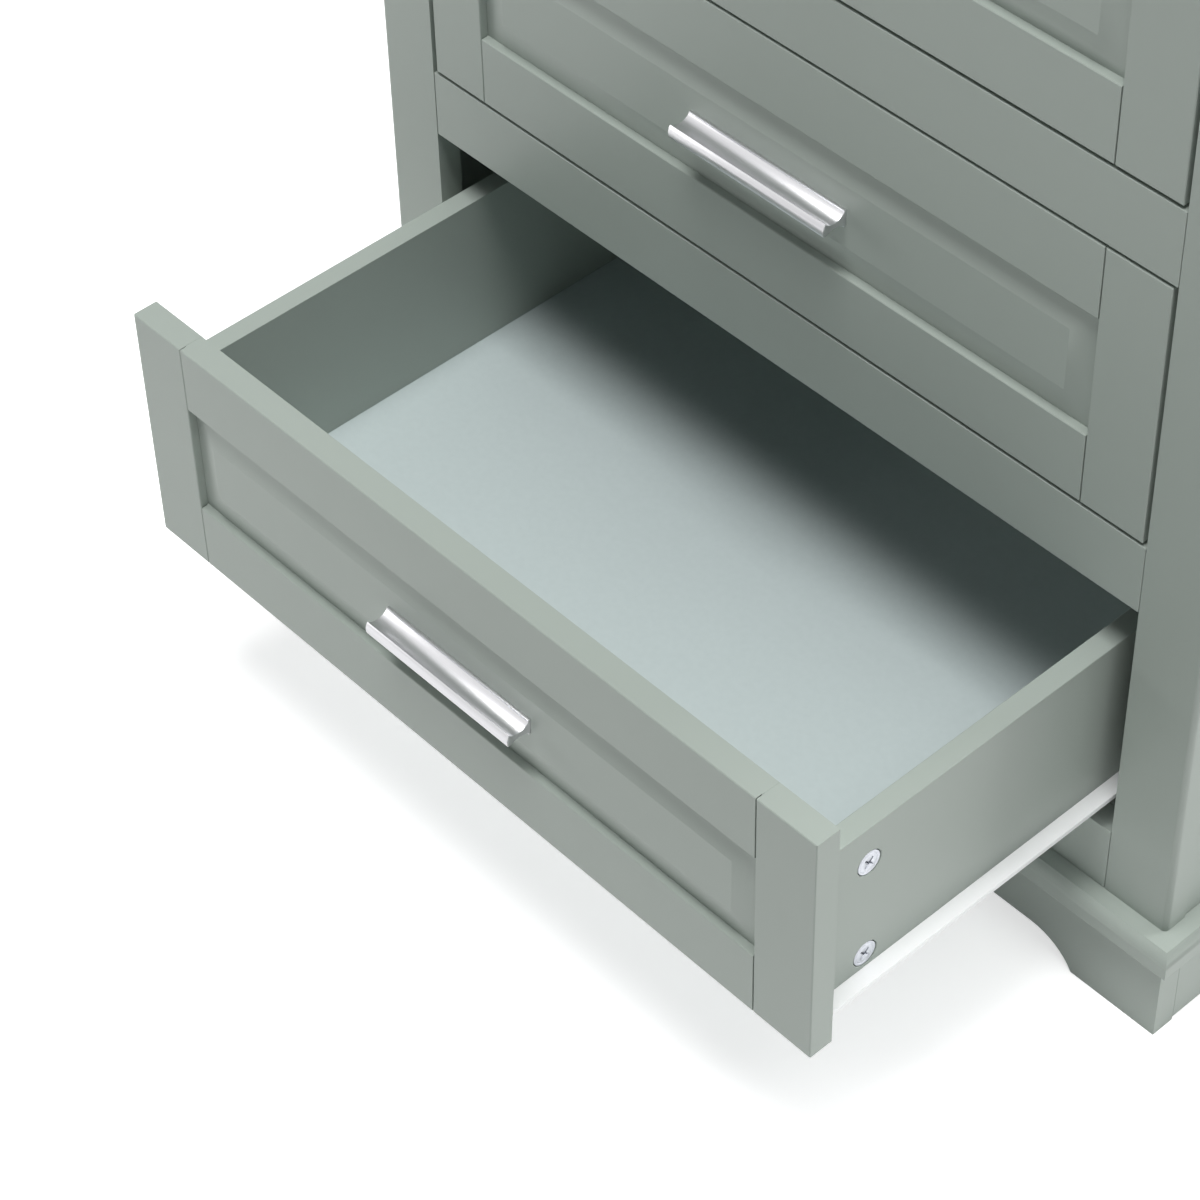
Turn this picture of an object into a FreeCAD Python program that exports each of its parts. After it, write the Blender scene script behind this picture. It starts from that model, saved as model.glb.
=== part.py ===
# A tall painted bathroom cabinet: a face-framed carcass on an arched plinth, three drawers
# on roller runners, and a pair of framed doors over them. The lower drawer stands open.
# Lengths are in millimetres. X runs to the right, Y to the wall behind, Z up. The origin is
# on the floor, in the middle of the back edge of the base.

import FreeCAD
import Part
import math
import os

Vector = FreeCAD.Vector

# Carcass boards
inner_width = 510              # between the two front posts
body_depth = 395               # from the front of the posts to the wall
board = 15                     # thickness of every carcass board
post_width = 41
post_rounding = 3              # outer vertical edge of a post
side_set_in = 1                # a side's face lies this far inside the post's edge
bottom_rail_height = 43
rail_height = 42
joint_line = 0.5               # dark line where a rail meets a post or a stile
joint_line_depth = 4
cupboard_opening = 917
back_thickness = 5
back_rebate = 8                # how far the back reaches into each side
top_thickness = 18

# Base
plinth_height = 57
plinth_overhang = 5            # past the posts
side_plinth_lift = 2.5         # the side boards stop short of the floor
foot_width = 58                # what is left of the front board on the floor at each end
arch_height = 16.5
arch_curve = 29.5              # how far in from the foot the arch becomes level
ledge_height = 18
ledge_overhang = 12.5
ledge_flat_overhang = 9.2      # how far out its flat top reaches
ledge_roll = 9                 # height of the curve between the flat top and the face
ledge_width = 63
ledge_under_rounding = 2

# Cornice
cornice_height = 30
cornice_overhang = 14
cornice_foot = 4               # thickness at its lower edge
cornice_band = 8               # flat band along its top

# Framed fronts, the same for drawers and doors
front_thickness = 15
stile_width = 39
front_rail_width = 42
front_side_gap = 3
front_end_gap = 2              # over and under a front
arris = 0.5                    # front edges broken by sanding
tongue_length = 7.5
tongue_thickness = 6
tongue_depth = 5               # from the front's face to the tongue's face
groove_spare = 0.5             # room past the end of a tongue
haunch = 8                     # the stile's groove stops this far from its ends
cove_width = 17
field_depth = 1.5              # the raised field lies this far below the face

# Handles
handle_length = 108
handle_centres = 96
handle_foot = 10               # height of the foot on the front
handle_sole = 1.6              # thickness of the foot's edges
handle_shoulder = 1.1          # from the foot's upper edge down to where the hollow starts
handle_reach = 15.8
handle_web_up = 1              # the web's faces above and below the middle of the foot
handle_web_down = 2.2
handle_lip_back = 1.4          # the lip's top corner lies this far behind its furthest point
handle_lip_under = 0.6         # and so does its bottom corner
handle_lip_up = 3.5            # top of the lip above the middle
handle_lip_down = 3.8
handle_lip_thickness = 2.1
screw_radius = 1.6
screw_bite = 4.5
screw_play = 0.4
screw_head_radius = 3.5
screw_head_height = 2
thread_fit = 0.05

# Drawers, from the lowest up
drawer_names = ["lower", "middle", "upper"]
drawer_opening = 159
drawers_pulled_out = {"lower": 212}
side_clearance = 13.5          # between a drawer side and the opening's edge
drawer_side = 12               # thickness of the drawer's boards
drawer_side_height = 118
drawer_length = 350
drawer_bottom = 5              # thickness of the bottom
drawer_bottom_rise = 12        # from the sides' lower edge to the bottom's underside
bottom_groove = 5              # how deep the bottom sits in the sides and the front

# Cam locks that hold each drawer front to its sides
cam_radius = 7.5
cam_height = 9.7
cam_pocket = 10
cam_play = 0.2
cam_set_back = 32              # from the drawer front's back
cam_inset = 25.5               # from the side's upper and lower edges
bolt_radius = 3
bolt_play = 0.4
bolt_bite = 10                 # how deep the bolt goes into the stile

# Roller runners
runner_metal = 1.2
runner_over_floor = 22.4       # top of the drawer member above the opening's lower edge
runner_lip = 3
runner_flange = 9.2            # how far the drawer member reaches out from the side
runner_web = 16
runner_shelf = 11              # the part under the drawer side
channel_height = 22            # from the cabinet member's foot to the drawer member's top
channel_rise = 4               # its web above the drawer member's top
channel_shelf = 11.5           # width of its foot
channel_lip = 1.4
channel_lip_drop = 4.6         # from the drawer member's top to the lip
channel_set_back = 2
batten_height = 40
roller_gap = 0.3               # between a roller and its track
axle_radius = 2.4
axle_fit = 0.05
axle_head_radius = 3.2
axle_head = 0.7
axle_shoulder_radius = 3.4
cabinet_roller_radius = 7
cabinet_roller_width = 4.8
cabinet_roller_inset = 2.6     # from the drawer side to the roller
cabinet_roller_back = 14       # from the channel's front end
drawer_roller_radius = 6.9
drawer_roller_width = 8
drawer_roller_inset = 2.4
drawer_roller_back = 10        # from the drawer member's back end
axle_end_play = 0.2

# Shelves and their pins
shelf_count = 2
shelf_set_back = 8             # behind the doors
shelf_end_play = 1
pin_radius = 2.5
pin_depth = 8
pin_fit = 0.05
pin_pitch = 32
pins_per_row = 3
pin_plate = 9
pin_plate_thickness = 3
pin_from_edge = 50             # from the shelf's front and back edges

# Door hinges and catches
hinge_count = 2
hinge_from_end = 100           # from the door's end to the middle of a hinge
hinge_length = 50
hinge_leaf = 1
hinge_leaf_depth = 12
knuckle_radius = 3.2
knuckle_gap = 0.3
hinge_pin_radius = 1.6
hinge_pin_fit = 0.05
hinge_pin_cap = 1.5
hinge_pin_cap_radius = 2.6
catch_width = 40
catch_depth = 15
catch_height = 30
catch_below_rail = 14
catch_from_middle = 35
striker_thickness = 1
striker_height = 12
magnet_gap = 0.3

# Small round pieces and bores have this many flats, which keeps their faces few
small_sides = 8
cam_sides = 12
knuckle_sides = 14
# Cuts run this far past the wood
overrun = 5
# Two places closer than this are the same one
same_place = 0.001

# Derived planes and lines
front = -body_depth
behind_frame = front + board
half_inner = inner_width / 2
half_face = half_inner + post_width
side_out = half_face - side_set_in
side_in = side_out - board
base_height = plinth_height + ledge_height
first_opening = base_height + bottom_rail_height
drawer_pitch = drawer_opening + rail_height
cupboard_floor = first_opening + len(drawer_names) * drawer_pitch
cupboard_top = cupboard_floor + cupboard_opening
body_top = cupboard_top + rail_height
cabinet_top = body_top + top_thickness
back_front = -back_thickness
gap_middle = half_inner - front_side_gap / 2
drawer_half = half_inner - side_clearance


def box(x0, x1, y0, y1, z0, z1):
    return Part.makeBox(x1 - x0, y1 - y0, z1 - z0, Vector(x0, y0, z0))


def cornered(radius, start, end, sides=small_sides):
    """A bar along X, Y or Z of many flats, with its corners at the radius."""
    along = end - start
    across = Vector(along.y, along.z, along.x) * (radius / along.Length)
    beside = along.cross(across) * (1 / along.Length)
    turns = [math.pi * (2 * n + 1) / sides for n in range(sides)]
    points = [start + across * math.cos(turn) + beside * math.sin(turn) for turn in turns]
    return Part.Face(Part.makePolygon(points + points[:1])).extrude(along)


def flatted(radius, start, end, sides=small_sides):
    """The same bar with its flats at the radius, as the bore of a round piece needs."""
    return cornered(radius / math.cos(math.pi / sides), start, end, sides)


def outline(path, place):
    """A closed face. A step of four numbers is an arc through its first two to its last two."""
    edges = []
    here = place(*path[0])
    for step in path[1:] + path[:1]:
        there = place(*step[-2:])
        if len(step) == 4:
            edges.append(Part.Arc(here, place(*step[:2]), there).toShape())
        else:
            edges.append(Part.LineSegment(here, there).toShape())
        here = there
    return Part.Face(Part.Wire(edges))


def edges_on(solid, **line):
    """The edges whose two ends both lie at the given x, y or z."""
    def lies(edge):
        ends = [vertex.Point for vertex in edge.Vertexes]
        return all(abs(getattr(end, axis) - value) < same_place
                   for end in ends for axis, value in line.items())
    return [edge for edge in solid.Edges if lies(edge)]


def mirrored(solid):
    return solid.mirror(Vector(0, 0, 0), Vector(1, 0, 0))


def pair(solid):
    """A piece and its twin on the other side of the cabinet."""
    return [solid, mirrored(solid)]


def save(name, solids):
    shape = solids[0] if len(solids) == 1 else Part.Compound(solids)
    shape.exportStep("parts/" + name + ".step")


# The carcass

def front_post():
    post = box(half_inner, half_face, front, behind_frame, base_height, body_top)
    return post.makeFillet(post_rounding, edges_on(post, x=half_face, y=front))


def shelf_heights():
    """The undersides of the shelves, which share the cupboard out evenly."""
    free = body_top - cupboard_floor - shelf_count * board
    step = free / (shelf_count + 1) + board
    return [cupboard_floor + step * (n + 1) - board for n in range(shelf_count)]


def pin_rows():
    """The two depths at which the shelf pins stand."""
    return [behind_frame + shelf_set_back + pin_from_edge, back_front - pin_from_edge]


def pin_height(shelf_under):
    return shelf_under - pin_plate_thickness / 2


def side_panel():
    panel = box(side_in, side_out, behind_frame, 0, base_height, body_top)
    panel = panel.cut(box(side_in - overrun, side_in + back_rebate, back_front, overrun,
                          base_height - overrun, body_top + overrun))
    middle = (pins_per_row - 1) / 2
    for shelf_under in shelf_heights():
        for y in pin_rows():
            for n in range(pins_per_row):
                z = pin_height(shelf_under) + (n - middle) * pin_pitch
                hole = flatted(pin_radius + pin_fit, Vector(side_in - overrun, y, z),
                               Vector(side_in + pin_depth + groove_spare, y, z))
                panel = panel.cut(hole)
    return panel


def shelf_pin(y, shelf_under):
    """A steel peg in the side, with a flat plate under the shelf."""
    z = pin_height(shelf_under)
    peg = flatted(pin_radius, Vector(side_in, y, z), Vector(side_in + pin_depth, y, z))
    plate = box(side_in - pin_plate, side_in, y - pin_plate / 2, y + pin_plate / 2,
                shelf_under - pin_plate_thickness, shelf_under)
    return peg.fuse(plate).removeSplitter()


def joint_step(x_end, outward, low, high):
    """What is cut from a rail's end along the face, which leaves a dark line at the joint."""
    inside = x_end - outward * joint_line
    past = x_end + outward * overrun
    return box(min(inside, past), max(inside, past), front - overrun,
               front + joint_line_depth, low - overrun, high + overrun)


def face_rail(low, high):
    wood = box(-half_inner, half_inner, front, behind_frame, low, high)
    return wood.cut(joint_step(-half_inner, -1, low, high)).cut(
        joint_step(half_inner, 1, low, high))


def face_rails():
    """The rails between the posts, from the foot of the cabinet up."""
    spans = [(base_height, first_opening)]
    for n in range(len(drawer_names)):
        top = first_opening + (n + 1) * drawer_pitch
        spans.append((top - rail_height, top))
    spans.append((cupboard_top, body_top))
    return [face_rail(low, high) for low, high in spans]


def build_carcass():
    save("front_posts", pair(front_post()))
    save("side_panels", pair(side_panel()))
    save("back_panel", [box(-side_in - back_rebate, side_in + back_rebate, back_front, 0,
                            base_height, body_top)])
    save("bottom_panel", [box(-side_in, side_in, behind_frame, back_front,
                              first_opening - board, first_opening)])
    save("middle_panel", [box(-side_in, side_in, behind_frame, back_front,
                              cupboard_floor - board, cupboard_floor)])
    save("top_panel", [box(-half_face, half_face, front, 0, body_top, cabinet_top)])
    save("face_rails", face_rails())
    shelf_half = side_in - shelf_end_play
    save("adjustable_shelves",
         [box(-shelf_half, shelf_half, behind_frame + shelf_set_back, back_front - shelf_end_play,
              under, under + board) for under in shelf_heights()])
    pins = []
    for under in shelf_heights():
        for y in pin_rows():
            pins += pair(shelf_pin(y, under))
    save("shelf_pins", pins)


# The base and the cornice

def front_plinth():
    """The front board, with a low arch that curves down to a foot at each end."""
    half = half_face + plinth_overhang
    foot = half - foot_width
    level = foot - arch_curve
    radius = (arch_curve ** 2 + arch_height ** 2) / (2 * arch_height)
    turn = math.asin(arch_curve / radius) / 2
    bend = level + radius * math.sin(turn)
    bend_height = arch_height - radius * (1 - math.cos(turn))
    path = [(-half, 0), (-foot, 0), (-bend, bend_height, -level, arch_height),
            (level, arch_height), (bend, bend_height, foot, 0), (half, 0),
            (half, plinth_height), (-half, plinth_height)]
    face = outline(path, lambda x, z: Vector(x, front - plinth_overhang, z))
    return face.extrude(Vector(0, board, 0))


def side_plinth():
    edge = half_face + plinth_overhang
    return box(edge - board, edge, front - plinth_overhang + board, 0,
               side_plinth_lift, plinth_height)


def back_plinth():
    half = half_face + plinth_overhang - board
    return box(-half, half, -board, 0, 0, plinth_height)


def mitred(section, overhang, width):
    """A front piece and two side pieces of one section, mitred at the front corners.

    The section is a path of how far out from the posts, and how high.
    """
    x_out = half_face + overhang
    y_out = front - overhang
    x_in = x_out - width
    y_in = y_out + width
    low = min(step[-1] for step in section)
    rise = Vector(0, 0, max(step[-1] for step in section) - low)
    front_run = outline(section, lambda out, z: Vector(-x_out, front - out, z))
    front_run = front_run.extrude(Vector(2 * x_out, 0, 0))
    side_run = outline(section, lambda out, z: Vector(half_face + out, y_out, z))
    side_run = side_run.extrude(Vector(0, -y_out, 0))
    front_plan = [(-x_out, y_out), (x_out, y_out), (x_in, y_in), (-x_in, y_in)]
    side_plan = [(x_out, y_out), (x_out, 0), (x_in, 0), (x_in, y_in)]
    pieces = []
    for run, plan in ((front_run, front_plan), (side_run, side_plan)):
        block = outline(plan, lambda x, y: Vector(x, y, low)).extrude(rise)
        pieces.append(run.common(block))
    return [pieces[0]] + pair(pieces[1])


def corner(centre_out, centre_up, radius, turn):
    """The point of a rounded corner at a turn from straight out, in degrees."""
    angle = math.radians(turn)
    return (centre_out + radius * math.cos(angle), centre_up + radius * math.sin(angle))


def ledge_section():
    inner = ledge_overhang - ledge_width
    low = plinth_height
    high = base_height
    under = ledge_under_rounding
    reach = ledge_overhang - ledge_flat_overhang
    radius = (reach ** 2 + ledge_roll ** 2) / (2 * reach)
    turn = math.degrees(math.asin(ledge_roll / radius)) / 2
    return [(inner, low), (ledge_overhang - under, low),
            corner(ledge_overhang - under, low + under, under, -45) + (ledge_overhang, low + under),
            (ledge_overhang, high - ledge_roll),
            corner(ledge_overhang - radius, high - ledge_roll, radius, turn)
            + (ledge_flat_overhang, high),
            (inner, high)]


def cornice_section():
    low = cabinet_top - cornice_height
    band = cabinet_top - cornice_band
    reach = cornice_overhang - cornice_foot
    drop = band - low - cornice_foot
    cove_out = cornice_overhang - reach * math.cos(math.pi / 4)
    cove_up = low + cornice_foot + drop * math.sin(math.pi / 4)
    return [(0, low), (cornice_foot, low), (cornice_foot, low + cornice_foot),
            (cove_out, cove_up, cornice_overhang, band), (cornice_overhang, cabinet_top),
            (0, cabinet_top)]


def build_base_and_cornice():
    save("plinth_boards", [front_plinth()] + pair(side_plinth()) + [back_plinth()])
    ledges = mitred(ledge_section(), ledge_overhang, ledge_width)
    ledge_half = half_face + ledge_overhang - ledge_width
    ledges.append(box(-ledge_half, ledge_half, -ledge_width, 0, plinth_height, base_height))
    save("base_moulding", ledges)
    save("cornice", mitred(cornice_section(), cornice_overhang, cornice_overhang))


# Framed fronts

def stile(x_edge, inward, z0, z1):
    """An upright of a front, whose outer edge is at x_edge; inward is 1 or -1."""
    inner = x_edge + inward * stile_width
    wood = box(min(x_edge, inner), max(x_edge, inner), front, front + front_thickness, z0, z1)
    wood = wood.makeChamfer(arris, edges_on(wood, y=front))
    bottom = inner - inward * (tongue_length + groove_spare)
    past = inner + inward * overrun
    groove = box(min(bottom, past), max(bottom, past), front + tongue_depth,
                 front + tongue_depth + tongue_thickness, z0 + haunch, z1 - haunch)
    return wood.cut(groove)


def rail(x0, x1, z_edge, inward):
    """A cross rail of a front between two stiles; its outer edge is at z_edge."""
    inner = z_edge + inward * front_rail_width
    low = min(z_edge, inner)
    high = max(z_edge, inner)
    wood = box(x0, x1, front, front + front_thickness, low, high)
    for z in (low, high):
        wood = wood.makeChamfer(arris, edges_on(wood, y=front, z=z))
    wood = wood.cut(joint_step(x0, -1, low, high)).cut(joint_step(x1, 1, low, high))
    tongue_face = front + tongue_depth
    shoulder = z_edge + inward * haunch
    tenon = box(x0 - tongue_length, x1 + tongue_length, tongue_face,
                tongue_face + tongue_thickness, min(shoulder, inner), max(shoulder, inner))
    bottom = inner - inward * (tongue_length + groove_spare)
    past = inner + inward * overrun
    groove = box(x0 - tongue_length - overrun, x1 + tongue_length + overrun, tongue_face,
                 tongue_face + tongue_thickness, min(bottom, past), max(bottom, past))
    return wood.fuse(tenon).cut(groove)


def raised_section(half_sight):
    """Across a raised panel: a path of the distance from its middle, and the depth."""
    edge = half_sight + tongue_length
    field = half_sight - cove_width
    rise = tongue_depth - field_depth
    radius = (cove_width ** 2 + rise ** 2) / (2 * rise)
    cove_middle = half_sight - cove_width / 2
    cove_depth = tongue_depth - radius + math.sqrt(radius ** 2 - (cove_width / 2) ** 2)
    back = tongue_depth + tongue_thickness
    return [(-edge, back), (-edge, tongue_depth), (-half_sight, tongue_depth),
            (-cove_middle, cove_depth, -field, field_depth), (field, field_depth),
            (cove_middle, cove_depth, half_sight, tongue_depth), (edge, tongue_depth),
            (edge, back)]


def raised_panel(x0, x1, z0, z1):
    """A panel with a coved border, mitred at its corners; the sizes are what shows."""
    x_middle = (x0 + x1) / 2
    z_middle = (z0 + z1) / 2
    x_edge = x0 - tongue_length
    z_edge = z0 - tongue_length
    upright = outline(raised_section((x1 - x0) / 2),
                      lambda s, depth: Vector(x_middle + s, front + depth, z_edge))
    level = outline(raised_section((z1 - z0) / 2),
                    lambda s, depth: Vector(x_edge, front + depth, z_middle + s))
    upright = upright.extrude(Vector(0, 0, z1 - z0 + 2 * tongue_length))
    level = level.extrude(Vector(x1 - x0 + 2 * tongue_length, 0, 0))
    return upright.common(level)


def framed_front(x0, x1, z0, z1):
    """The stiles, rails and raised panel of one front."""
    sight = (x0 + stile_width, x1 - stile_width,
             z0 + front_rail_width, z1 - front_rail_width)
    stiles = [stile(x0, 1, z0, z1), stile(x1, -1, z0, z1)]
    rails = [rail(sight[0], sight[1], z0, 1), rail(sight[0], sight[1], z1, -1)]
    return stiles, rails, raised_panel(*sight)


# Handles

def handle_section():
    """The extrusion: a foot on the front, a waisted web and a lip, out from the front and up."""
    foot = handle_foot / 2
    lip_top = handle_reach - handle_lip_back
    lip_bottom = handle_reach - handle_lip_under
    under = lip_bottom - handle_lip_thickness
    waist = (handle_sole + lip_top) / 2
    bulge = (handle_lip_up - handle_lip_down) / 2
    return [(0, -foot), (0, foot), (handle_sole / 2, foot), (handle_sole, foot - handle_shoulder),
            (waist, handle_web_up, lip_top, handle_lip_up),
            (handle_reach, bulge, lip_bottom, -handle_lip_down), (under, -handle_lip_down),
            (waist, -handle_web_down, handle_sole, -foot)]


def handle(middle, along, up, wood_back):
    """A handle on a front with its two screws, and the holes that the screws need.

    The middle is a point of the face that carries it; wood_back is the y of the wood's back.
    """
    out = Vector(0, -1, 0)
    end = middle - along * (handle_length / 2)
    bar = outline(handle_section(), lambda a, b: end + out * a + up * b)
    bar = bar.extrude(along * handle_length)
    web_middle = up * ((handle_web_up - handle_web_down) / 2)
    screws = []
    holes = []
    for side in (-1, 1):
        at = middle + along * (side * handle_centres / 2) + web_middle
        back = Vector(at.x, wood_back, at.z)
        shank = flatted(screw_radius, back, at + out * screw_bite)
        head = flatted(screw_head_radius, back, back - out * screw_head_height)
        bar = bar.cut(flatted(screw_radius + thread_fit, back,
                              at + out * (screw_bite + groove_spare)))
        screws.append(shank.fuse(head).removeSplitter())
        holes.append(flatted(screw_radius + screw_play, back - out * overrun, at + out * overrun))
    return [bar] + screws, holes


# One drawer, closed, with z measured from the lower edge of its opening

side_low = runner_over_floor - runner_web
side_high = side_low + drawer_side_height
drawer_front_back = front + front_thickness
drawer_end = drawer_front_back + drawer_length
drawer_bottom_low = side_low + drawer_bottom_rise
drawer_bottom_high = drawer_bottom_low + drawer_bottom


def cam_places():
    """The middles of the two bolts on the right side, where they meet the front's back."""
    x = drawer_half - drawer_side / 2
    return [Vector(x, drawer_front_back, side_low + cam_inset),
            Vector(x, drawer_front_back, side_high - cam_inset)]


def cam_parts(place):
    """A cam and its bolt, and the pocket and the bore that take them."""
    pocket_floor = drawer_half - cam_pocket
    centre = Vector(pocket_floor, place.y + cam_set_back, place.z)
    back = Vector(0, 1, 0)
    bolt = flatted(bolt_radius, place - back * bolt_bite, place + back * cam_set_back)
    cam = flatted(cam_radius, centre, centre + Vector(cam_height, 0, 0), cam_sides)
    slot = flatted(bolt_radius + bolt_play, place, place + back * (cam_set_back + bolt_play))
    pocket = flatted(cam_radius + cam_play, centre,
                     centre + Vector(cam_pocket + overrun, 0, 0), cam_sides)
    bore = flatted(bolt_radius + bolt_play, place - back * overrun, place + back * cam_set_back)
    return [cam.cut(slot), bolt], [pocket, bore]


def drawer_side_board():
    wood = box(drawer_half - drawer_side, drawer_half, drawer_front_back, drawer_end,
               side_low, side_high)
    groove = box(drawer_half - drawer_side - overrun, drawer_half - drawer_side + bottom_groove,
                 drawer_front_back - overrun, drawer_end + overrun,
                 drawer_bottom_low, drawer_bottom_high)
    wood = wood.cut(groove)
    for place in cam_places():
        for hollow in cam_parts(place)[1]:
            wood = wood.cut(hollow)
    return wood


def axle(inner_end, outer_end, shoulder_at, y, z):
    """A roller's axle: a headed pin with a shoulder on the side of the runner's web."""
    toward = 1 if outer_end > inner_end else -1
    pin = cornered(axle_radius, Vector(inner_end, y, z), Vector(outer_end, y, z))
    head = flatted(axle_head_radius, Vector(outer_end - toward * axle_head, y, z),
                   Vector(outer_end, y, z))
    shoulder = flatted(axle_shoulder_radius, Vector(inner_end, y, z),
                       Vector(shoulder_at, y, z))
    return pin.fuse(head).fuse(shoulder)


def roller(inset, width, radius, y, z):
    along = Vector(1, 0, 0)
    start = Vector(drawer_half + inset, y, z)
    tread = Part.makeCylinder(radius, width, start, along)
    return tread.cut(flatted(axle_radius + axle_fit, start, start + along * width))


cabinet_roller_z = runner_over_floor - runner_metal - roller_gap - cabinet_roller_radius
cabinet_roller_y = drawer_front_back + channel_set_back + cabinet_roller_back
channel_floor = runner_over_floor - channel_height + runner_metal
drawer_roller_z = channel_floor + roller_gap + drawer_roller_radius
drawer_roller_y = drawer_end - drawer_roller_back


def drawer_member():
    """The moving half: a shelf under the side, a web, and a lipped flange that rides on rollers."""
    x = drawer_half
    top = runner_over_floor
    under = top - runner_metal
    path = [(x - runner_shelf, side_low), (x - runner_shelf, side_low - runner_metal),
            (x + runner_metal, side_low - runner_metal), (x + runner_metal, under),
            (x + runner_flange - runner_metal, under),
            (x + runner_flange - runner_metal, top - runner_lip),
            (x + runner_flange, top - runner_lip), (x + runner_flange, top), (x, top),
            (x, side_low)]
    face = outline(path, lambda a, b: Vector(a, drawer_front_back, b))
    member = face.extrude(Vector(0, drawer_length, 0))
    roller_out = x + drawer_roller_inset + drawer_roller_width
    pin = axle(x + runner_metal, roller_out + axle_end_play + axle_head,
               x + drawer_roller_inset - axle_end_play, drawer_roller_y, drawer_roller_z)
    return member.fuse(pin).removeSplitter()


def cabinet_member():
    """The fixed half: a channel on the batten, with a roller at its front end."""
    wall = half_inner
    web = wall - runner_metal
    foot = runner_over_floor - channel_height
    lip = runner_over_floor - channel_lip_drop
    path = [(wall, foot), (wall, runner_over_floor + channel_rise),
            (web, runner_over_floor + channel_rise), (web, lip), (web - channel_lip, lip),
            (web - channel_lip, lip - runner_metal), (web, lip - runner_metal),
            (web, channel_floor), (wall - channel_shelf, channel_floor),
            (wall - channel_shelf, foot)]
    start = drawer_front_back + channel_set_back
    face = outline(path, lambda a, b: Vector(a, start, b))
    member = face.extrude(Vector(0, drawer_length, 0))
    inner = drawer_half + cabinet_roller_inset
    pin = axle(web, inner - axle_end_play - axle_head,
               inner + cabinet_roller_width + axle_end_play, cabinet_roller_y, cabinet_roller_z)
    return member.fuse(pin).removeSplitter()


def drawer_pieces():
    """Every piece of one drawer by name, as lists of solids."""
    stiles, rails, panel = framed_front(-half_inner + front_side_gap, half_inner - front_side_gap,
                                        front_end_gap, drawer_opening - front_end_gap)
    fittings = []
    for place in cam_places():
        fittings += cam_parts(place)[0]
        pilot = flatted(bolt_radius + thread_fit, place + Vector(0, overrun, 0),
                        place - Vector(0, bolt_bite + groove_spare, 0))
        stiles = [wood.cut(pilot).cut(mirrored(pilot)) for wood in stiles]
    middle = Vector(0, front + field_depth, drawer_opening / 2)
    pull, holes = handle(middle, Vector(1, 0, 0), Vector(0, 0, 1),
                         front + tongue_depth + tongue_thickness)
    for hole in holes:
        panel = panel.cut(hole)
    bottom_half = drawer_half - drawer_side + bottom_groove
    bottom_front = drawer_front_back - bottom_groove
    bottom = box(-bottom_half, bottom_half, bottom_front, drawer_end,
                 drawer_bottom_low, drawer_bottom_high)
    groove = box(-bottom_half, bottom_half, bottom_front, drawer_front_back + overrun,
                 drawer_bottom_low, drawer_bottom_high)
    inside = drawer_half - drawer_side
    return {
        "drawer_front_stiles": [wood.cut(groove) for wood in stiles],
        "drawer_front_rails": [wood.cut(groove) for wood in rails],
        "drawer_front_panel": [panel],
        "drawer_sides": pair(drawer_side_board()),
        "drawer_back": [box(-inside, inside, drawer_end - drawer_side, drawer_end,
                            drawer_bottom_high, side_high)],
        "drawer_bottom": [bottom],
        "drawer_cam_fittings": fittings + [mirrored(piece) for piece in fittings],
        "drawer_handle": pull,
        "drawer_runners": pair(drawer_member()),
        "drawer_rollers": pair(roller(drawer_roller_inset, drawer_roller_width,
                                      drawer_roller_radius, drawer_roller_y, drawer_roller_z)),
    }


def build_drawers():
    pieces = drawer_pieces()
    cabinet_roller = roller(cabinet_roller_inset, cabinet_roller_width, cabinet_roller_radius,
                            cabinet_roller_y, cabinet_roller_z)
    batten = box(half_inner, side_in, behind_frame, back_front, 0, batten_height)
    battens = []
    channels = []
    for n, name in enumerate(drawer_names):
        rise = Vector(0, 0, first_opening + n * drawer_pitch)
        moved = rise - Vector(0, drawers_pulled_out.get(name, 0), 0)
        for piece, solids in pieces.items():
            save(name + "_" + piece, [solid.translated(moved) for solid in solids])
        save(name + "_cabinet_rollers", [one.translated(rise) for one in pair(cabinet_roller)])
        battens += [one.translated(rise) for one in pair(batten)]
        channels += [one.translated(rise) for one in pair(cabinet_member())]
    save("runner_battens", battens)
    save("cabinet_runners", channels)


# The doors, made for the right side and mirrored

door_low = cupboard_floor + front_end_gap
door_high = cupboard_top - front_end_gap
hinge_axis = Vector(gap_middle, front - knuckle_radius - knuckle_gap, 0)


def hinge_heights():
    """The middles of the hinges, evenly spaced between the two end ones."""
    low = door_low + hinge_from_end
    high = door_high - hinge_from_end
    return [low + (high - low) * n / (hinge_count - 1) for n in range(hinge_count)]


def hinge_side(z_middle, wood_edge, toward_gap, door_side):
    """One leaf of a lift-off hinge in the gap, with its knuckle on the barrel.

    The post's leaf has the lower knuckle, and the door's leaf rests on it with the upper one.
    """
    low = z_middle - hinge_length / 2
    high = z_middle + hinge_length / 2
    z0 = z_middle + knuckle_gap if door_side else low
    z1 = high if door_side else z_middle
    leaf_face = wood_edge + toward_gap * hinge_leaf
    x0 = min(wood_edge, leaf_face)
    x1 = max(wood_edge, leaf_face)
    foot = Vector(hinge_axis.x, hinge_axis.y, z0)
    top = Vector(hinge_axis.x, hinge_axis.y, z1)
    leaf = box(x0, x1, front + knuckle_gap, front + hinge_leaf_depth, low, high)
    leaf = leaf.fuse(box(x0, x1, hinge_axis.y, front + knuckle_gap, z0, z1))
    leaf = leaf.fuse(cornered(knuckle_radius, foot, top, knuckle_sides))
    leaf = leaf.cut(flatted(hinge_pin_radius + hinge_pin_fit, foot, top))
    return leaf.removeSplitter()


def hinge_pin(z_middle):
    """A pin through both knuckles, with a cap under the lower one."""
    low = Vector(hinge_axis.x, hinge_axis.y, z_middle - hinge_length / 2)
    pin = Part.makeCylinder(hinge_pin_radius, hinge_length, low)
    cap = flatted(hinge_pin_cap_radius, low - Vector(0, 0, hinge_pin_cap), low)
    return pin.fuse(cap).removeSplitter()


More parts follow.
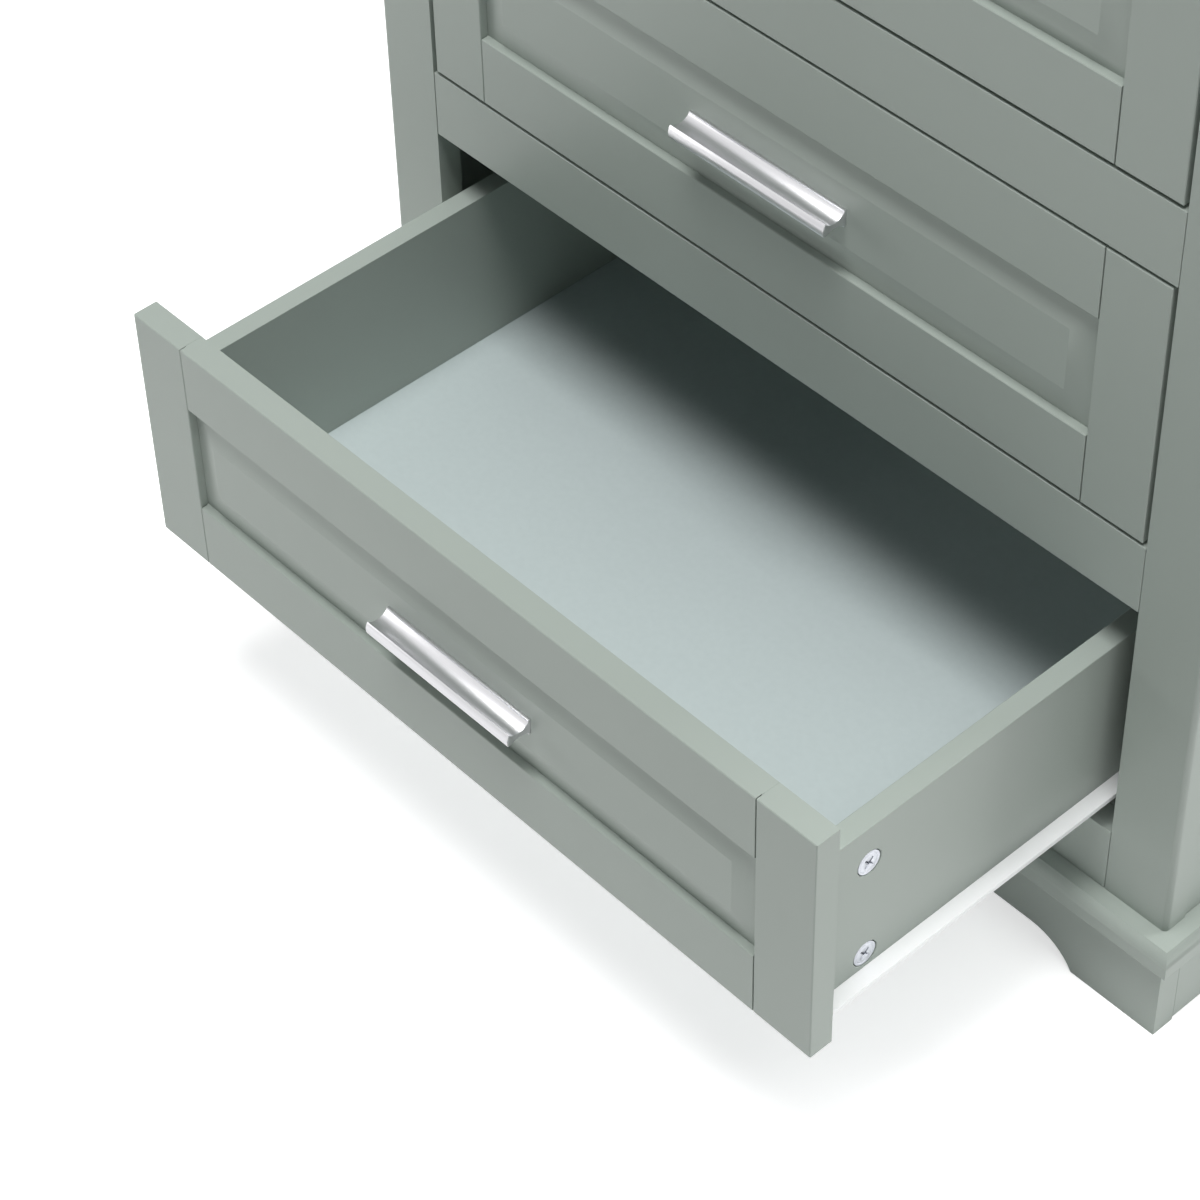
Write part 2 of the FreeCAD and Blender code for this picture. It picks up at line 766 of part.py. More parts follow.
def catch():
    """A magnetic catch screwed behind the top rail, reaching down behind the door."""
    x0 = catch_from_middle - catch_width / 2
    x1 = catch_from_middle + catch_width / 2
    face = behind_frame + striker_thickness + magnet_gap
    low = cupboard_top - catch_below_rail
    body = box(x0, x1, face, face + catch_depth, low, low + catch_height)
    tab = box(x0, x1, behind_frame, face, cupboard_top, low + catch_height)
    return body.fuse(tab).removeSplitter()


def door_pieces():
    """Every piece of the right door by name."""
    closing_edge = front_side_gap / 2
    hinge_edge = half_inner - front_side_gap
    stiles, rails, panel = framed_front(closing_edge, hinge_edge, door_low, door_high)
    middle = Vector(closing_edge + stile_width / 2, front, (door_low + door_high) / 2)
    pull, holes = handle(middle, Vector(0, 0, 1), Vector(1, 0, 0), front + front_thickness)
    for hole in holes:
        stiles = [wood.cut(hole) for wood in stiles]
    striker = box(catch_from_middle - catch_width / 2, catch_from_middle + catch_width / 2,
                  behind_frame, behind_frame + striker_thickness,
                  door_high - striker_height, door_high)
    leaves = [hinge_side(z, hinge_edge, 1, True) for z in hinge_heights()]
    return {
        "door_stiles": stiles,
        "door_rails": rails,
        "door_panel": [panel],
        "door_handle": pull,
        "door_fittings": leaves + [striker],
    }


def build_doors():
    for piece, solids in door_pieces().items():
        save("right_" + piece, solids)
        save("left_" + piece, [mirrored(solid) for solid in solids])
    leaves = []
    pins = []
    for z in hinge_heights():
        leaves += pair(hinge_side(z, half_inner, -1, False))
        pins += pair(hinge_pin(z))
    save("hinge_post_leaves", leaves)
    save("hinge_pins", pins)
    save("magnetic_catches", pair(catch()))


os.makedirs("parts", exist_ok=True)
build_carcass()
build_base_and_cornice()
build_drawers()
build_doors()
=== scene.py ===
"""A tall painted cabinet with its lowest drawer pulled open, on a pale studio floor."""

import bmesh
import bpy
import math
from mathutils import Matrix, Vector


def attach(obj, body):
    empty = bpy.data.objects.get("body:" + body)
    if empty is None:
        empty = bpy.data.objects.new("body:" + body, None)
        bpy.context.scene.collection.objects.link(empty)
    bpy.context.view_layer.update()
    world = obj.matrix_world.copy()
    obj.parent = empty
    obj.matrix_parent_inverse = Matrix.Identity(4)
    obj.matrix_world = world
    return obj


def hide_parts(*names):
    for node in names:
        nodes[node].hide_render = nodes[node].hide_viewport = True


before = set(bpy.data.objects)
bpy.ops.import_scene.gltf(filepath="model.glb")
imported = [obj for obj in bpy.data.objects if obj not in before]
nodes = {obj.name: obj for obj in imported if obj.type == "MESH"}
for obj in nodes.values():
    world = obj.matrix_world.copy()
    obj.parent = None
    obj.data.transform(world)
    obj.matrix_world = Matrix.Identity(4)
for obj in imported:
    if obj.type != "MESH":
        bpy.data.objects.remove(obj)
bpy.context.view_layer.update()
bpy.ops.object.select_all(action="DESELECT")


# The base: an arched plinth of painted boards under a solid ledge, mitred at the corners,
# with a moulded front edge. All of the cabinet's wood has the same sprayed satin lacquer,
# which leaves a faint orange peel and slightly softened edges.

SAGE = (0.372, 0.418, 0.382, 1)
SAGE_CLOUD = (0.357, 0.402, 0.368, 1)
BOARD_EDGE = 0.0004


class Wire:
    """An output in a material's tree; sums and products of wires add Math nodes."""

    def __init__(self, recipe, socket):
        self.recipe = recipe
        self.socket = socket

    def reckon(self, operation, first, second):
        return self.recipe.add("ShaderNodeMath", {"operation": operation}, {0: first, 1: second})

    def __add__(self, other):
        return self.reckon("ADD", self, other)

    def __radd__(self, other):
        return self.reckon("ADD", other, self)

    def __sub__(self, other):
        return self.reckon("SUBTRACT", self, other)

    def __rsub__(self, other):
        return self.reckon("SUBTRACT", other, self)

    def __mul__(self, other):
        return self.reckon("MULTIPLY", self, other)

    def __rmul__(self, other):
        return self.reckon("MULTIPLY", other, self)


class Recipe:
    """A new material and its tree of nodes."""

    def __init__(self, name, **constants):
        self.material = bpy.data.materials.new(name)
        self.material.use_nodes = True
        self.tree = self.material.node_tree
        self.skin = self.tree.nodes["Principled BSDF"]
        for socket, value in constants.items():
            self.skin.inputs[socket.replace("_", " ")].default_value = value

    def add(self, kind, settings=None, sockets=None, output=0):
        node = self.tree.nodes.new(kind)
        for name, value in (settings or {}).items():
            if name == "stops":
                for stop, (place, colour) in zip(node.color_ramp.elements, value):
                    stop.position = place
                    stop.color = colour
            else:
                setattr(node, name, value)
        for name, value in (sockets or {}).items():
            if isinstance(value, Wire):
                self.tree.links.new(value.socket, node.inputs[name])
            else:
                node.inputs[name].default_value = value
        return Wire(self, node.outputs[output])

    def place(self):
        return self.add("ShaderNodeTexCoord", output="Object")

    def noise(self, vector, scale, detail=2, roughness=0.5):
        return self.add("ShaderNodeTexNoise", {}, {"Vector": vector, "Scale": scale,
                                                   "Detail": detail, "Roughness": roughness})

    def blend(self, share, first, second):
        return self.add("ShaderNodeMix", {"data_type": "RGBA"},
                        {0: share, 6: first, 7: second}, 2)

    def feed(self, socket, wire):
        self.tree.links.new(wire.socket, self.skin.inputs[socket])

    def relief(self, height, distance, strength):
        self.feed("Normal", self.add("ShaderNodeBump", {}, {
            "Height": height, "Distance": distance, "Strength": strength}, "Normal"))


lacquer = Recipe("sage lacquer", Specular_IOR_Level=0.3)
lacquer_place = lacquer.place()
clouds = lacquer.noise(lacquer_place, 9, 3)
lacquer.feed("Base Color", lacquer.blend(clouds, SAGE, SAGE_CLOUD))
lacquer.feed("Roughness", clouds * 0.08 + 0.34)
lacquer.relief(lacquer.noise(lacquer_place, 620, 1) + clouds * 0.4, 0.00012, 0.12)


def finish(names, recipe, edge):
    """Gives CAD pieces a finish, and softens their sharp edges by that many metres."""
    for name in names:
        piece = nodes[name]
        piece.data.materials.clear()
        piece.data.materials.append(recipe.material)
        if edge:
            weld = piece.modifiers.new("join", "WELD")
            weld.merge_threshold = 0.00001
            soften = piece.modifiers.new("soften", "BEVEL")
            soften.width = edge
            soften.segments = 2
            soften.limit_method = "ANGLE"
            soften.angle_limit = math.radians(40)
            soften.harden_normals = True


finish(["plinth_boards", "base_moulding"], lacquer, BOARD_EDGE)


# The carcass: two veneered sides between solid front posts, floors, a back let into the sides
# and solid face rails that are doweled to the posts. Spacing battens carry the runners.

finish(["front_posts", "face_rails", "side_panels", "bottom_panel", "middle_panel", "top_panel",
        "adjustable_shelves", "runner_battens"], lacquer, BOARD_EDGE)
finish(["back_panel"], lacquer, 0)


# The cornice: solid moulding with a hollow under a flat band, mitred round the top.

finish(["cornice"], lacquer, BOARD_EDGE)


# The framed fronts: solid stiles and rails with a coved inner edge, tongued round a raised
# panel. Their edges are sanded to a small arris before they are sprayed.

DRAWERS = ["lower_drawer", "middle_drawer", "upper_drawer"]
DOORS = ["left_door", "right_door"]
FRONT_EDGE = 0.00015

for drawer in DRAWERS:
    finish([drawer + "_front_stiles", drawer + "_front_rails", drawer + "_front_panel"],
           lacquer, FRONT_EDGE)
for door in DOORS:
    finish([door + "_stiles", door + "_rails", door + "_panel"], lacquer, FRONT_EDGE)


# The drawer boxes: twelve millimetre lacquered sides and back round a thin bottom sheet,
# which is let into grooves and faced with a paler, matt, faintly pebbled foil.

FOIL = (0.53, 0.60, 0.60, 1)
FOIL_SPECK = (0.49, 0.56, 0.56, 1)
BOX_EDGE = 0.0005

for drawer in DRAWERS:
    finish([drawer + "_sides", drawer + "_back"], lacquer, BOX_EDGE)

foil = Recipe("pebbled foil", Specular_IOR_Level=0.35)
foil_place = foil.place()
pebble = foil.noise(foil_place, 900, 2)
foil.feed("Base Color", foil.blend(foil.noise(foil_place, 260, 3), FOIL, FOIL_SPECK))
foil.feed("Roughness", pebble * 0.1 + 0.48)
foil.relief(pebble, 0.0001, 0.25)
finish([drawer + "_bottom" for drawer in DRAWERS], foil, 0)


# The cam locks that draw each front onto its sides: a die-cast zinc disc with a cross recess,
# sunk in a bored pocket of the side, that turns on the head of a bolt from the front's stile.

CAM_RADIUS = 0.0072
CAM_FACE = 0.2412             # the disc's outer face, out from the cabinet's middle
CAM_DEPTH = 0.0095
CAM_BEHIND_FRONT = 0.032
CAM_HEIGHTS = (0.0319, 0.0989)    # over the opening's lower edge
CROSS_LENGTH = 0.0074
CROSS_WIDTH = 0.0011
CROSS_TURN = math.radians(47)
CROSS_DEPTH = 0.0024
POINT_RADIUS = 0.0014         # the hole in the middle of the cross
POINT_DEPTH = 0.0034
CLEAR = 0.001                 # how far a cutting block stands out of what it cuts
BOLT_MIDDLE = 0.2355
BOLT_RADIUS = 0.003
BOLT_NECK = 0.0018
BOLT_BITE = 0.010
OPENING_EDGES = {"lower_drawer": 0.118, "middle_drawer": 0.319, "upper_drawer": 0.520}
FRONT_BACKS = {"lower_drawer": -0.592, "middle_drawer": -0.380, "upper_drawer": -0.380}


def settle(piece, material=None):
    """Puts the piece's place and turn into its mesh, and its faces outwards."""
    bpy.ops.object.select_all(action="DESELECT")
    bpy.context.view_layer.objects.active = piece
    piece.select_set(True)
    bpy.ops.object.transform_apply(location=True, rotation=True, scale=True)
    bpy.ops.object.mode_set(mode="EDIT")
    bpy.ops.mesh.select_all(action="SELECT")
    bpy.ops.mesh.remove_doubles(threshold=0.000001)
    bpy.ops.mesh.normals_make_consistent(inside=False)
    bpy.ops.object.mode_set(mode="OBJECT")
    if material:
        piece.data.materials.clear()
        piece.data.materials.append(material)
    return piece


def block(low, high):
    """A rectangular block between two corners."""
    middle = [(a + b) / 2 for a, b in zip(low, high)]
    bpy.ops.mesh.primitive_cube_add(size=1, location=middle)
    piece = bpy.context.object
    piece.scale = [b - a for a, b in zip(low, high)]
    return settle(piece)


def rod(radius, start, end, sides=48):
    """A round rod between two points."""
    run = Vector(end) - Vector(start)
    bpy.ops.mesh.primitive_cylinder_add(
        vertices=sides, radius=radius, depth=run.length,
        location=Vector(start) + run / 2, rotation=run.to_track_quat("Z", "Y").to_euler())
    return settle(bpy.context.object)


def carve(piece, tools, operation="DIFFERENCE"):
    """Cuts the tools out of the piece, or joins them to it, and removes them."""
    for tool in tools:
        cut = piece.modifiers.new("cut", "BOOLEAN")
        cut.operation = operation
        cut.object = tool
        cut.solver = "EXACT"
        bpy.context.view_layer.objects.active = piece
        bpy.ops.object.modifier_apply(modifier="cut")
        bpy.data.objects.remove(tool)
    return piece


def open_faces(piece, facing, beyond=None):
    """Opens the piece for editing with the faces that look that way selected."""
    bpy.ops.object.select_all(action="DESELECT")
    bpy.context.view_layer.objects.active = piece
    piece.select_set(True)
    bpy.ops.object.mode_set(mode="EDIT")
    bpy.ops.mesh.select_mode(type="FACE")
    bpy.ops.mesh.select_all(action="DESELECT")
    form = bmesh.from_edit_mesh(piece.data)
    facing = Vector(facing)
    for face in form.faces:
        looks = face.normal.dot(facing) > 0.99
        reach = face.calc_center_median().dot(facing)
        face.select_set(looks and (beyond is None or reach > beyond))
    bmesh.update_edit_mesh(piece.data)


def push(shift):
    """Extrudes the selected faces."""
    bpy.ops.mesh.extrude_region_move(TRANSFORM_OT_translate={"value": shift})


def close(piece, material, edge=0, segments=2):
    """Leaves editing, softens the sharp edges and smooths the round faces."""
    if piece.mode == "EDIT":
        bpy.ops.object.mode_set(mode="OBJECT")
    settle(piece, material)
    if edge:
        soften = piece.modifiers.new("soften", "BEVEL")
        soften.width = edge
        soften.segments = segments
        soften.limit_method = "ANGLE"
        soften.angle_limit = math.radians(35)
        bpy.ops.object.modifier_apply(modifier="soften")
    bpy.ops.object.shade_smooth_by_angle(angle=math.radians(32))
    return piece


def copy_of(piece, shift=(0, 0, 0), turn=(0, 0, 0), mirrored=False):
    """A copy with its own mesh, turned, then moved; a mirrored one is on the cabinet's left."""
    twin = piece.copy()
    twin.data = piece.data.copy()
    bpy.context.collection.objects.link(twin)
    twin.rotation_euler = turn
    twin.location = shift
    settle(twin)
    if mirrored:
        twin.scale = (-1, 1, 1)
        settle(twin)
    return twin


def joined(pieces, name, body, slot, *replaced):
    """Joins loose pieces into one named piece on a body."""
    bpy.ops.object.select_all(action="DESELECT")
    for piece in pieces:
        piece.select_set(True)
    bpy.context.view_layer.objects.active = pieces[0]
    if len(pieces) > 1:
        bpy.ops.object.join()
    whole = bpy.context.object
    whole.name = name
    whole.data.name = name
    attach(whole, body)
    if replaced:
        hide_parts(*replaced)
    return whole


zinc = Recipe("zinc", Metallic=1)
zinc_place = zinc.place()
mottle = zinc.noise(zinc_place, 700, 3)
zinc.feed("Base Color", zinc.blend(mottle, (0.68, 0.70, 0.75, 1), (0.50, 0.52, 0.56, 1)))
zinc.feed("Roughness", mottle * 0.2 + 0.34)
zinc.relief(mottle, 0.00004, 0.3)

cam = rod(CAM_RADIUS, (CAM_FACE - CAM_DEPTH, 0, 0), (CAM_FACE, 0, 0), 64)
open_faces(cam, (1, 0, 0))
bpy.ops.mesh.inset(thickness=0.0010, depth=0)
bpy.ops.mesh.inset(thickness=0.0002, depth=-0.00025)
bpy.ops.mesh.inset(thickness=0.0003, depth=0)
bpy.ops.mesh.inset(thickness=0.0002, depth=0.00025)
bpy.ops.object.mode_set(mode="OBJECT")
cross = block((CAM_FACE - CROSS_DEPTH, -CROSS_LENGTH / 2, -CROSS_WIDTH / 2),
              (CAM_FACE + CLEAR, CROSS_LENGTH / 2, CROSS_WIDTH / 2))
point = rod(POINT_RADIUS, (CAM_FACE - POINT_DEPTH, 0, 0), (CAM_FACE + CLEAR, 0, 0), 8)
groove = block((BOLT_MIDDLE - 0.0034, -0.009, -0.0034), (BOLT_MIDDLE + 0.0034, 0.0012, 0.0034))
carve(cam, [copy_of(cross, turn=(CROSS_TURN, 0, 0)),
            copy_of(cross, turn=(CROSS_TURN + math.pi / 2, 0, 0)), point, groove])
bpy.data.objects.remove(cross)
close(cam, zinc.material, 0.00015)

bolt = rod(BOLT_RADIUS, (BOLT_MIDDLE, -CAM_BEHIND_FRONT - BOLT_BITE, 0),
           (BOLT_MIDDLE, -0.0078, 0), 32)
open_faces(bolt, (0, 1, 0))
bpy.ops.mesh.inset(thickness=BOLT_RADIUS - BOLT_NECK, depth=0)
push((0, 0.0046, 0))
push((0, 0.0004, 0))
bpy.ops.transform.resize(value=(1.55, 1, 1.55), center_override=(BOLT_MIDDLE, 0, 0))
push((0, 0.0022, 0))
push((0, 0.0004, 0))
bpy.ops.transform.resize(value=(0.7, 1, 0.7), center_override=(BOLT_MIDDLE, 0, 0))
close(bolt, zinc.material, 0.0002)

for drawer in DRAWERS:
    locks = []
    for height in CAM_HEIGHTS:
        middle = (0, FRONT_BACKS[drawer] + CAM_BEHIND_FRONT, OPENING_EDGES[drawer] + height)
        for mirrored in (False, True):
            locks += [copy_of(cam, middle, mirrored=mirrored),
                      copy_of(bolt, middle, mirrored=mirrored)]
    joined(locks, drawer + "_cam_locks", drawer, "zinc", drawer + "_cam_fittings")
bpy.data.objects.remove(cam)
bpy.data.objects.remove(bolt)


# The roller runners: folded steel with a white epoxy coat. One half is fixed under each drawer
# side, and the other to the battens in the carcass.

epoxy = Recipe("white epoxy", Base_Color=(0.93, 0.935, 0.94, 1), Specular_IOR_Level=0.5)
epoxy_place = epoxy.place()
epoxy.feed("Roughness", epoxy.noise(epoxy_place, 40, 2) * 0.08 + 0.28)
epoxy.relief(epoxy.noise(epoxy_place, 1100, 1), 0.00005, 0.1)
finish(["cabinet_runners"] + [drawer + "_runners" for drawer in DRAWERS], epoxy, 0.0003)


# The rollers: moulded nylon wheels with a dished face round the hub, which turn on the riveted
# axles of the runners.

BORE = 0.0026                 # its radius: the axle's 2.4 mm, and 0.2 mm of play
HUB = 0.0039                  # radius of the boss round the bore
RIM = 0.0011                  # the flat ring outside the dish
DISH = 0.0005                 # how deep the dish is
DISH_WALL = 0.0003
HUB_WALL = 0.0002
DRAWER_WHEEL = (0.2439, 0.008, 0.0069)      # inner face from the middle, width, radius
CABINET_WHEEL = (0.2441, 0.0048, 0.007)
DRAWER_AXLE_BACK = 0.340      # behind the drawer front's back
DRAWER_AXLE_RISE = 0.0088     # over the opening's lower edge
CABINET_AXLE_Y = -0.364
CABINET_AXLE_RISE = 0.0139

nylon = Recipe("nylon", Base_Color=(0.80, 0.80, 0.77, 1), Subsurface_Weight=0.05)
nylon_place = nylon.place()
nylon.feed("Roughness", nylon.noise(nylon_place, 300, 2) * 0.15 + 0.38)
nylon.relief(nylon.noise(nylon_place, 900, 1), 0.00003, 0.2)


def roller(inner_face, width, radius, y, z):
    """A wheel on the cabinet's right, along X, dished on both faces."""
    wheel = rod(radius, (inner_face, y, z), (inner_face + width, y, z), 64)
    for side in (1, -1):
        open_faces(wheel, (side, 0, 0), side * (inner_face + width / 2) + width * 0.4)
        bpy.ops.mesh.inset(thickness=RIM, depth=0)
        bpy.ops.mesh.inset(thickness=DISH_WALL, depth=-DISH)
        bpy.ops.mesh.inset(thickness=radius - (RIM + DISH_WALL) - HUB, depth=0)
        bpy.ops.mesh.inset(thickness=HUB_WALL, depth=DISH)
        bpy.ops.mesh.inset(thickness=HUB - HUB_WALL - BORE, depth=0)
        bpy.ops.object.mode_set(mode="OBJECT")
    carve(wheel, [rod(BORE, (inner_face - 0.01, y, z), (inner_face + width + 0.01, y, z), 32)])
    return close(wheel, nylon.material, 0.0002)


for drawer in DRAWERS:
    floor_edge = OPENING_EDGES[drawer]
    fixed = drawer.replace("drawer", "cabinet") + "_rollers"
    for name, wheel in (
            (drawer + "_rollers",
             roller(*DRAWER_WHEEL, FRONT_BACKS[drawer] + DRAWER_AXLE_BACK,
                    floor_edge + DRAWER_AXLE_RISE)),
            (fixed, roller(*CABINET_WHEEL, CABINET_AXLE_Y, floor_edge + CABINET_AXLE_RISE))):
        joined([wheel, copy_of(wheel, mirrored=True)], name + "_wheels", name, "roller_nylon",
               name)


# The handles: a satin anodised extrusion sawn to length, with a foot on the wood, a web that
# is hollowed above and below, and a bowed lip. Two screws from behind the wood hold it.

HANDLE_LENGTH = 0.108
HANDLE_SCREWS = 0.048                # out from the handle's middle
FOOT = 0.005                         # half its height
SOLE = 0.0016                        # thickness of its edges
LIP_TOP_OUT = 0.0143
LIP_UNDER_OUT = 0.0152               # where the lip's curve takes over below
LIP_DOWN = 0.0038
HOLLOW = (0.008195, 0.009943, 0.008945)      # each circle's middle, out and up, and radius
UNDER_HOLLOW = (0.008039, -0.011004, 0.008804)
LIP = (0.008559, -0.000834, 0.007273)
SCREW_DROP = -0.0006                 # the screws are in the middle of the web
SCREW_RADIUS = 0.0016
SCREW_BITE = 0.0045
HEAD_RADIUS = 0.0035
HEAD_HEIGHT = 0.002
HEAD_TAPER = 0.72
RECESS_LONG = 0.0018                 # half the length and half the width of its cross recess
RECESS_WIDE = 0.0004
RECESS_FLOOR = 0.0008                # from the head's underside


def on_circle(circle, out, side):
    """The height of the circle's upper or lower half, that far out from the wood."""
    middle_out, middle_up, radius = circle
    return middle_up + side * math.sqrt(radius ** 2 - (out - middle_out) ** 2)


def handle_faces(out):
    """The heights of the extrusion's upper and lower face, that far out from the wood."""
    high = on_circle(HOLLOW, out, -1) if out < LIP_TOP_OUT else on_circle(LIP, out, 1)
    low = max(on_circle(UNDER_HOLLOW, out, 1), -LIP_DOWN) if out < LIP_UNDER_OUT else \
        on_circle(LIP, out, -1)
    return high, low


bar = block((-HANDLE_LENGTH / 2, -SOLE, -FOOT), (HANDLE_LENGTH / 2, 0, FOOT))
open_faces(bar, (0, -1, 0))
stations = [SOLE + 0.00001] + [SOLE + (LIP_TOP_OUT - SOLE) * n / 14 for n in range(1, 14)]
stations += [LIP_TOP_OUT + 0.00001]
stations += [LIP[0] + LIP[2] * math.cos(math.radians(turn)) for turn in (30, 24, 18, 12, 6)]
last_out, last_high, last_low = SOLE, FOOT, -FOOT
for out in stations:
    high, low = handle_faces(out)
    push((0, last_out - out, (high + low - last_high - last_low) / 2))
    bpy.ops.transform.resize(value=(1, 1, (high - low) / (last_high - last_low)),
                             center_override=(0, 0, (high + low) / 2))
    last_out, last_high, last_low = out, high, low


def anodised(name, stretch):
    """Fine lines run along the axis whose stretch is small."""
    recipe = Recipe(name, Metallic=1)
    lines = recipe.noise(recipe.add("ShaderNodeMapping", {}, {
        "Vector": recipe.place(), "Scale": stretch}), 1, 3)
    recipe.feed("Base Color", recipe.blend(lines, (0.72, 0.72, 0.735, 1), (0.60, 0.60, 0.615, 1)))
    recipe.feed("Roughness", lines * 0.12 + 0.30)
    recipe.relief(lines, 0.00003, 0.25)
    return recipe.material


level_metal = anodised("anodised, drawn level", (30, 2600, 2600))
upright_metal = anodised("anodised, drawn upright", (2600, 2600, 30))
close(bar, level_metal, 0.0002)


def handle_screw(wood_back):
    """A pan-head screw along Y, from behind the wood into the bar."""
    screw = rod(SCREW_RADIUS, (0, -SCREW_BITE, 0), (0, wood_back, 0), 24)
    head = rod(HEAD_RADIUS, (0, wood_back, 0), (0, wood_back + HEAD_HEIGHT, 0), 40)
    open_faces(head, (0, 1, 0))
    push((0, 0, 0))
    bpy.ops.transform.resize(value=(HEAD_TAPER, 1, HEAD_TAPER), center_override=(0, 0, 0))
    bpy.ops.object.mode_set(mode="OBJECT")
    low, high = wood_back + RECESS_FLOOR, wood_back + HEAD_HEIGHT + CLEAR
    carve(head, [block((-x, low, -z), (x, high, z)) for x, z in
                 ((RECESS_LONG, RECESS_WIDE), (RECESS_WIDE, RECESS_LONG))])
    carve(screw, [head], "UNION")
    return close(screw, zinc.material, 0.0001)


drawer_screw = handle_screw(0.0095)
for number, drawer in enumerate(DRAWERS):
    middle = Vector((0, -0.6055 if number == 0 else -0.3935, 0.1975 + 0.201 * number))
    joined([copy_of(bar, middle)], drawer + "_pull", drawer, "handle_aluminium",
           drawer + "_handle")
    joined([copy_of(drawer_screw, middle + Vector((side * HANDLE_SCREWS, 0, SCREW_DROP)))
            for side in (1, -1)], drawer + "_pull_screws", drawer, "zinc")

door_screw = handle_screw(0.015)
for side, door in ((-1, "left_door"), (1, "right_door")):
    middle = Vector((side * 0.021, -0.395, 1.1795))
    pull = joined([copy_of(bar, middle, (0, side * math.pi / 2, 0))], door + "_pull", door,
                  "handle_aluminium", door + "_handle")
    pull.data.materials[0] = upright_metal
    joined([copy_of(door_screw, middle + Vector((side * SCREW_DROP, 0, end * HANDLE_SCREWS)))
            for end in (1, -1)], door + "_pull_screws", door, "zinc")
for piece in (bar, drawer_screw, door_screw):
    bpy.data.objects.remove(piece)


# The hinges: two plated lift-off hinges a door, in the gap between the stile and the post. The
# post's knuckle has the pin, the door's drops over it, and the leaves are held by screws.

HINGE_HEIGHTS = (0.823, 1.536)
HINGE_X = 0.2535
HINGE_Y = -0.3985
HINGE_HALF = 0.025
KNUCKLE_RADIUS = 0.0032
PIN_RADIUS = 0.0016
PIN_PLAY = 0.00005
CAP_RADIUS = 0.0026
CAP = 0.0015
POST_EDGE = 0.255
DOOR_EDGE = 0.252
LEAF = 0.001                  # its thickness
LEAF_FRONT = -0.3947
LEAF_BACK = -0.383
STRAP_BACK = -0.394
KNUCKLE_GAP = 0.0003
SLOT_HEIGHTS = (-0.016, 0.016)       # of the screws, from the hinge's middle
SLOT_FRONT = -0.3914
SLOT_BACK = -0.3866
SLOT_WIDE = 0.0004


def hinge_half(edge, toward, low, high):
    """A leaf against that edge of the wood, with its knuckle between two heights."""
    face = edge + toward * LEAF
    near, far = sorted((edge, face))
    leaf = block((near, LEAF_FRONT, -HINGE_HALF), (far, LEAF_BACK, HINGE_HALF))
    strap = block((near, HINGE_Y, low), (far, STRAP_BACK, high))
    knuckle = rod(KNUCKLE_RADIUS, (HINGE_X, HINGE_Y, low), (HINGE_X, HINGE_Y, high))
    carve(leaf, [strap, knuckle], "UNION")
    bore = rod(PIN_RADIUS + PIN_PLAY, (HINGE_X, HINGE_Y, -0.04), (HINGE_X, HINGE_Y, 0.04))
    inside, outside = sorted((face - toward * SLOT_WIDE, face + toward * CLEAR))
    slots = [block((inside, SLOT_FRONT, height - SLOT_WIDE),
                   (outside, SLOT_BACK, height + SLOT_WIDE)) for height in SLOT_HEIGHTS]
    carve(leaf, [bore] + slots)
    return close(leaf, zinc.material, 0.00015)


post_half = hinge_half(POST_EDGE, -1, -HINGE_HALF, 0)
door_half = hinge_half(DOOR_EDGE, 1, KNUCKLE_GAP, HINGE_HALF)
pin = rod(PIN_RADIUS, (HINGE_X, HINGE_Y, -HINGE_HALF), (HINGE_X, HINGE_Y, HINGE_HALF))
cap = rod(CAP_RADIUS, (HINGE_X, HINGE_Y, -HINGE_HALF - CAP), (HINGE_X, HINGE_Y, -HINGE_HALF))
close(carve(pin, [cap], "UNION"), zinc.material, 0.0003, 3)


def hinge_set(half, mirrored):
    """The same half at each of a door's hinges."""
    return [copy_of(half, (0, 0, height), mirrored=mirrored) for height in HINGE_HEIGHTS]


joined(hinge_set(post_half, False) + hinge_set(post_half, True), "post_hinge_leaves",
       "carcass", "zinc", "hinge_post_leaves")
joined(hinge_set(pin, False) + hinge_set(pin, True), "hinge_pin_set", "carcass", "zinc",
       "hinge_pins")


# The catches: a moulded housing with two steel poles behind the top rail for each door, and a
# thin plated striker that is screwed to the back of the door's top rail.

CATCH_IN = 0.015              # the catch's ends, from the cabinet's middle
CATCH_OUT = 0.055
DOOR_BACK = -0.380
CATCH_LOW = 1.624
CATCH_HIGH = 1.654            # it reaches up behind the rail
POLE_RISE = 0.0066            # from one pole to the next

striker = block((CATCH_IN, DOOR_BACK, CATCH_LOW), (CATCH_OUT, -0.379, 1.636))
open_faces(striker, (0, 1, 0))
bpy.ops.mesh.inset(thickness=0.0012, depth=0)
bpy.ops.mesh.inset(thickness=0.0003, depth=-0.0002)
close(striker, zinc.material, 0.0003)
for side, door in ((-1, "left_door"), (1, "right_door")):
    joined(hinge_set(door_half, side < 0) + [copy_of(striker, mirrored=side < 0)],
           door + "_hinge_leaves", door, "zinc", door + "_fittings")

moulded = Recipe("white moulded plastic", Base_Color=(0.78, 0.78, 0.76, 1))
moulded_place = moulded.place()
moulded.feed("Roughness", moulded.noise(moulded_place, 400, 2) * 0.15 + 0.4)
moulded.relief(moulded.noise(moulded_place, 1500, 1), 0.00003, 0.2)

